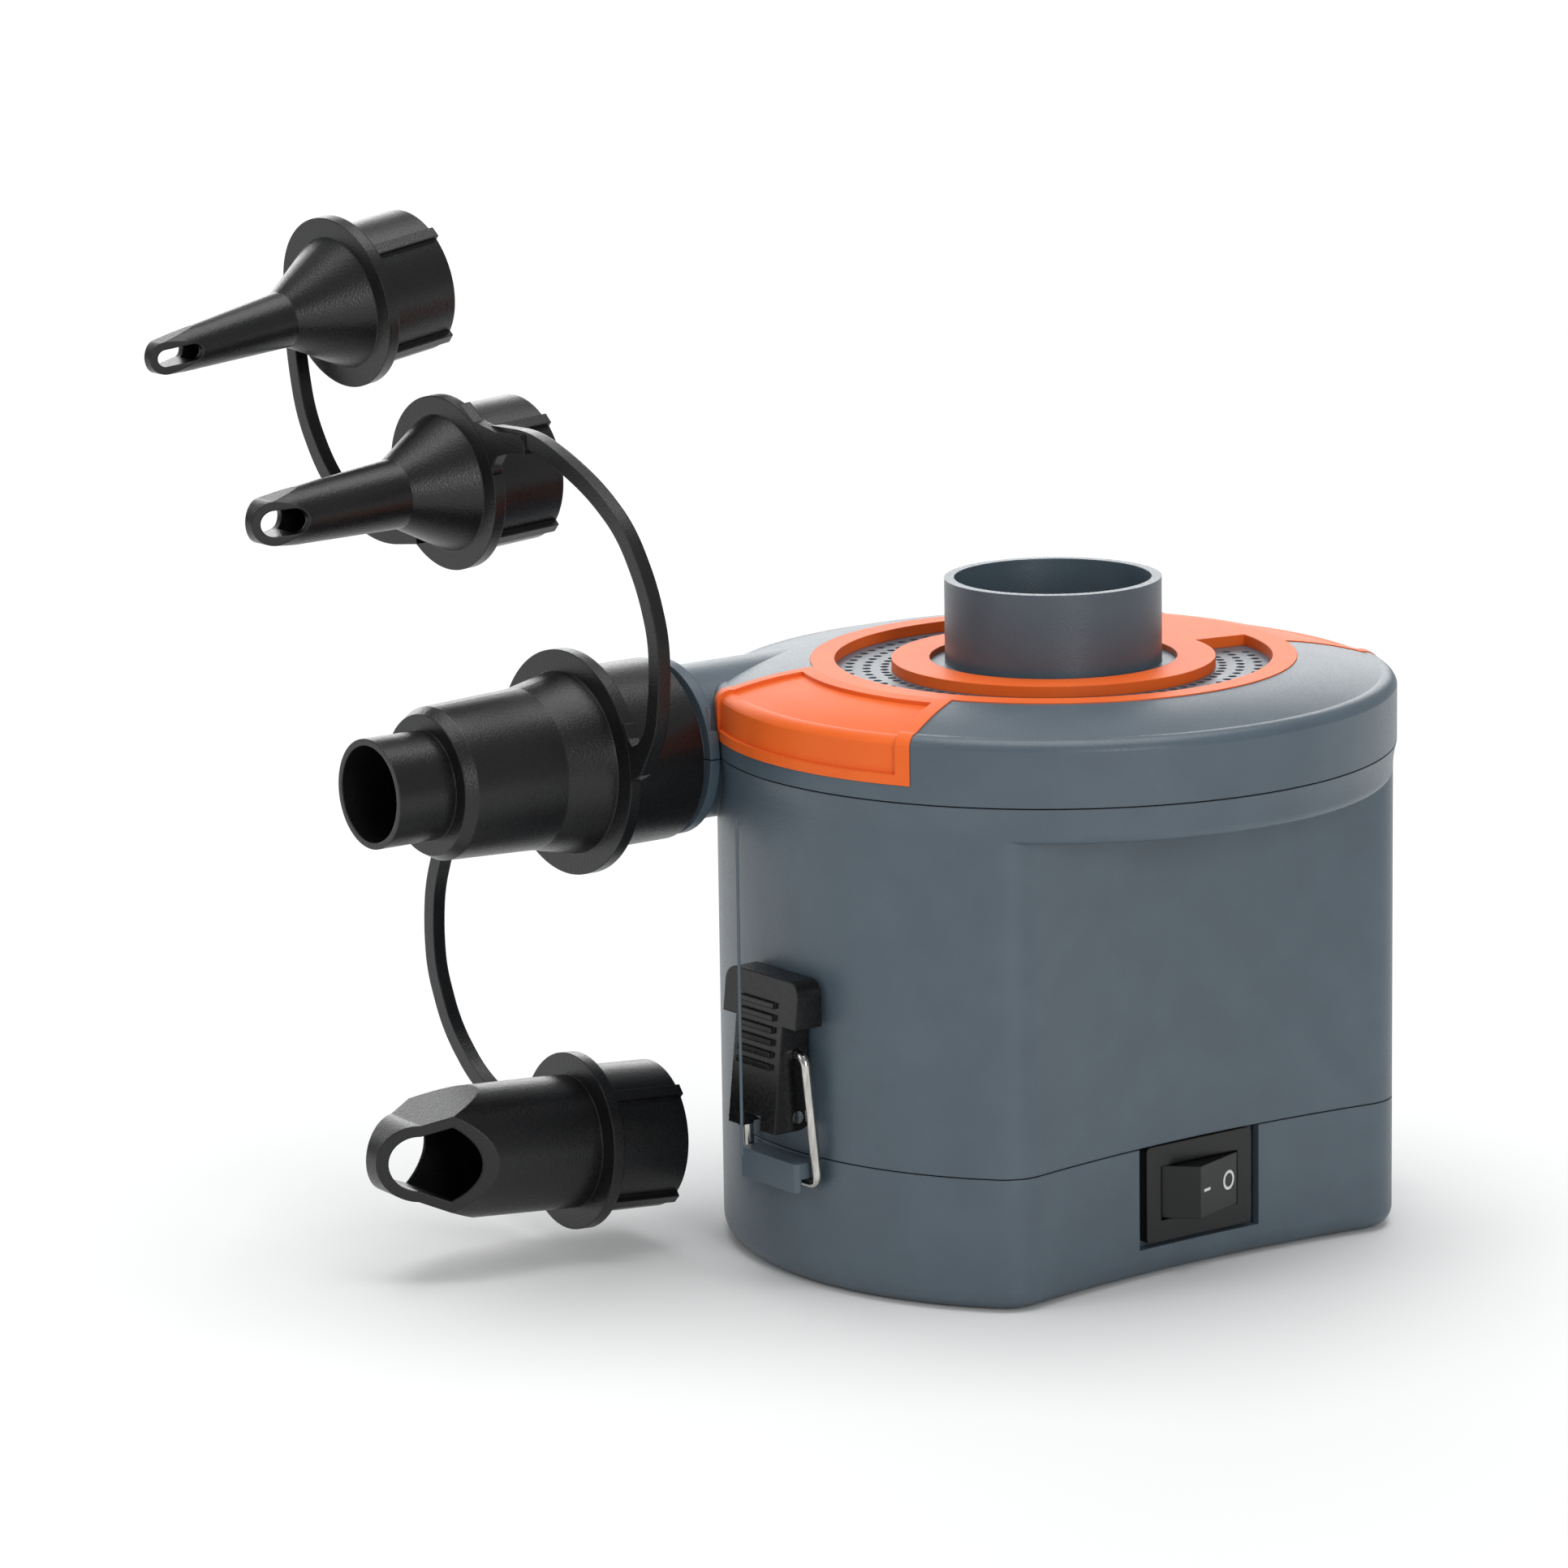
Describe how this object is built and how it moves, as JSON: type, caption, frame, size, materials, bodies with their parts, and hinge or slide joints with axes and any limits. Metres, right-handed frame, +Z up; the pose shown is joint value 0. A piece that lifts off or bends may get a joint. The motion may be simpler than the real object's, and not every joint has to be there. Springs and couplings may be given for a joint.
{
  "type": "electric air mattress pump",
  "caption": "Round battery air pump with a top inlet collar, a side spout, a latched battery base, a rocker switch and a tethered set of push-on nozzles.",
  "frame": {"origin": "middle of the flat underside of the battery base", "axes": "+Z up along the inlet collar and the fan shaft; -X the way the side spout blows; -Y the flat face with the switch"},
  "size_m": [0.1639, 0.1632, 0.1575],
  "materials": {
    "body_plastic": "fine spark-eroded texture",
    "orange_plastic": "satin",
    "inner_plastic": "as moulded",
    "fan_plastic": "as moulded",
    "nozzle_ldpe": "soft polyethylene, faint grain",
    "black_plastic": "satin",
    "steel_wire": "bright nickel-plated",
    "screw_steel": "zinc-plated",
    "motor_steel": "drawn and plated",
    "contact_brass": "stamped",
    "cell_steel": "sleeved",
    "white_ink": "pad-printed",
    "red_sleeve": "wire insulation",
    "black_sleeve": "wire insulation"
  },
  "bodies": {
    "pump_body": {"housing": "body_plastic", "lid": "body_plastic", "trim_ring": "orange_plastic", "intake_grille": "body_plastic", "fan_deck": "inner_plastic", "chamber_cover": "inner_plastic", "battery_carrier": "inner_plastic", "battery_cell_front_left": "cell_steel", "battery_cell_front_right": "cell_steel", "battery_cell_back_right": "cell_steel", "battery_cell_back_left": "cell_steel", "top_contacts": "contact_brass", "motor_can": "motor_steel", "motor_end_cap": "inner_plastic", "motor_magnets": "motor_steel", "lid_screws": "screw_steel", "motor_screws": "screw_steel", "carrier_screws": "screw_steel", "hinge_pin": "steel_wire", "latch_pin": "steel_wire", "switch_frame": "black_plastic", "switch_terminals": "contact_brass", "lead_red": "red_sleeve", "lead_black": "black_sleeve"},
    "fan_rotor": {"impeller": "fan_plastic", "motor_shaft": "steel_wire", "motor_armature": "motor_steel"},
    "battery_base": {"base": "body_plastic", "base_contacts": "contact_brass", "contact_springs": "contact_brass"},
    "lever": {"latch_lever": "black_plastic"},
    "bail": {"latch_bail": "steel_wire"},
    "rocker": {"switch_rocker": "black_plastic", "rocker_marks": "white_ink"},
    "nozzle_set": {"outlet_adapter": "nozzle_ldpe", "nozzle_medium": "nozzle_ldpe", "nozzle_fine": "nozzle_ldpe", "nozzle_slant": "nozzle_ldpe", "tether_upper": "nozzle_ldpe", "tether_top": "nozzle_ldpe", "tether_lower": "nozzle_ldpe"}
  },
  "joints": [
    {"name": "fan_spin", "type": "hinge", "parent": "pump_body", "child": "fan_rotor", "pos_m": [0, 0, 0.08], "axis": [0, 0, 1], "continuous": true},
    {"name": "base_hinge", "type": "hinge", "parent": "pump_body", "child": "battery_base", "pos_m": [0.0556, 0, 0.0208], "axis": [0, -1, 0], "range_deg": [0, 80]},
    {"name": "lever_pivot", "type": "hinge", "parent": "pump_body", "child": "lever", "pos_m": [-0.0555, 0, 0.0274], "axis": [0, -1, 0], "range_deg": [0, 75]},
    {"name": "bail_pivot", "type": "hinge", "parent": "lever", "child": "bail", "pos_m": [-0.0555, 0, 0.0373], "axis": [0, -1, 0], "range_deg": [-58, 0]},
    {"name": "rocker_tilt", "type": "hinge", "parent": "pump_body", "child": "rocker", "pos_m": [0, -0.032, 0.01305], "axis": [0, 0, -1], "range_deg": [0, 16]},
    {"name": "nozzle_set_pull", "type": "slide", "parent": "pump_body", "child": "nozzle_set", "axis": [-1, 0, 0], "range_m": [0, 0.03]}
  ],
  "couplings": [
    {"joint": "bail_pivot", "follows": "lever_pivot", "ratio": -0.615}
  ]
}
